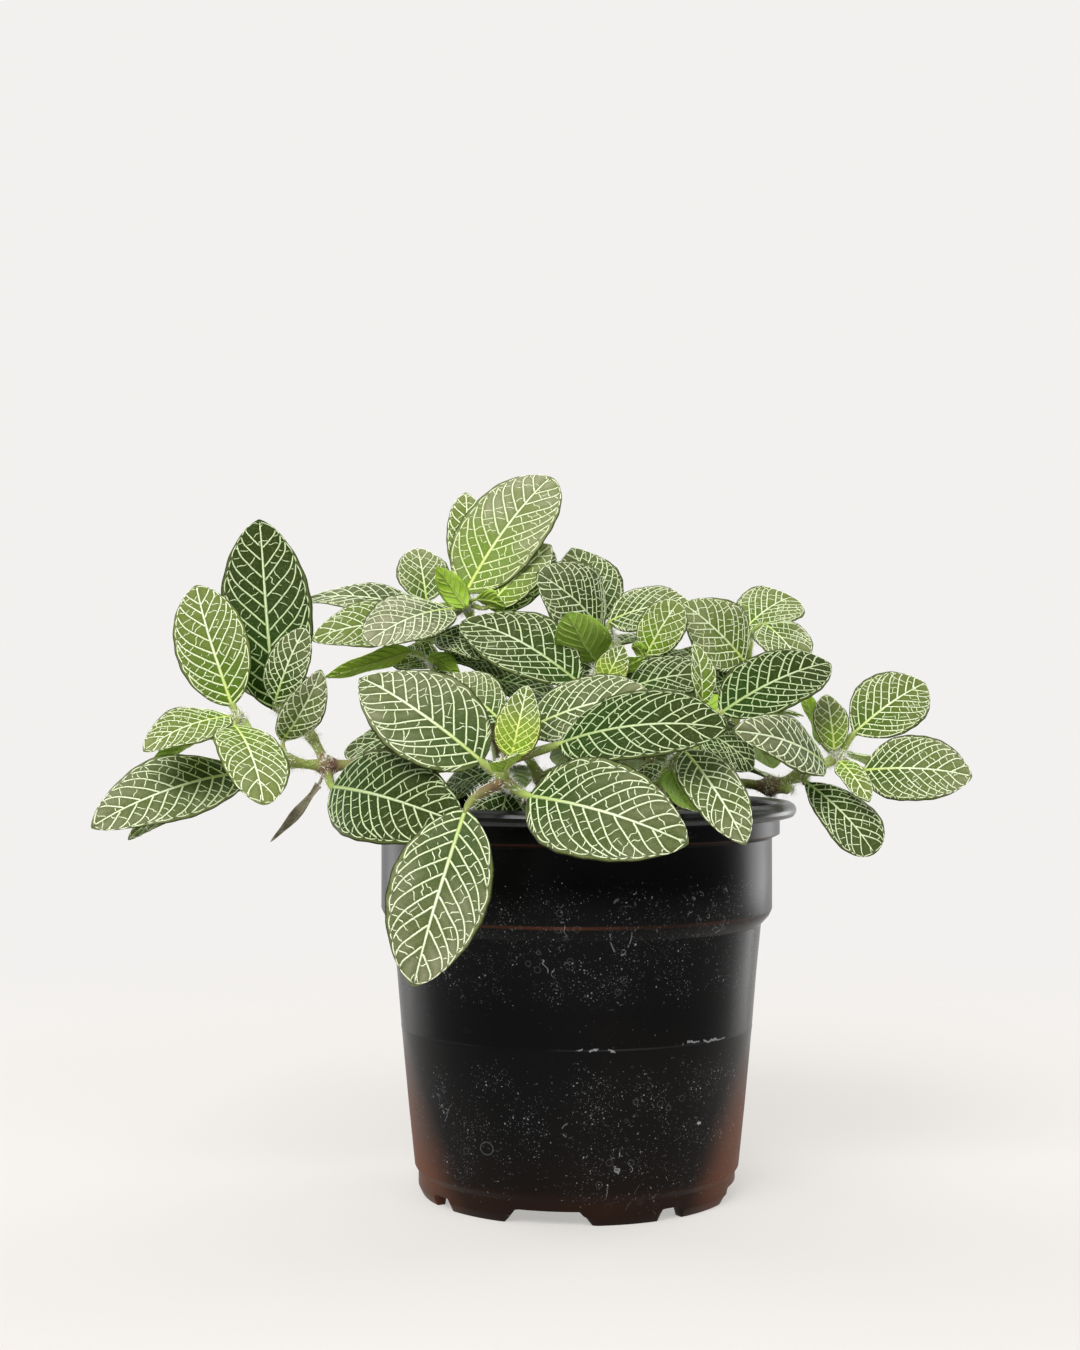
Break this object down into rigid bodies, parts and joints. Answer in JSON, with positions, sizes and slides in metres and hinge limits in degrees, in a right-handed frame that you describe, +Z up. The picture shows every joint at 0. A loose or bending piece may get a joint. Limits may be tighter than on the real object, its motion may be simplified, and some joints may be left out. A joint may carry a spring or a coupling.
{
  "type": "potted nerve plant",
  "caption": "Bushy nerve plant with oval, white-veined leaves on creeping stems, in a round black nursery pot of dark soil.",
  "frame": {"origin": "middle of the whole plant's box, on the surface that the pot stands on", "axes": "+Z up; -Y is the side that the picture shows, with +X to its right and along the widest spread of the leaves"},
  "size_m": [0.2294, 0.1776, 0.1969],
  "materials": {
    "pot_plastic": "thin semi-gloss black plastic with a brown tint low down, dusty, with water marks and scratches",
    "potting_soil": "matte, crumbly dark peat",
    "foliage": "satin dark green leaves with a net of pale veins, plain green undersides and hairy green to brown stems"
  },
  "bodies": {
    "root": {"pot": "pot_plastic", "soil": "potting_soil", "stem_left": "foliage", "stem_front": "foliage", "stem_front_middle": "foliage", "stem_middle": "foliage", "stem_left_middle": "foliage", "stem_top": "foliage", "stem_centre": "foliage", "stem_centre_right": "foliage", "stem_right_middle": "foliage", "stem_right_front": "foliage", "stem_rim_front": "foliage", "stem_right": "foliage", "stem_back_left": "foliage", "stem_back": "foliage", "stem_back_right": "foliage"}
  },
  "joints": []
}
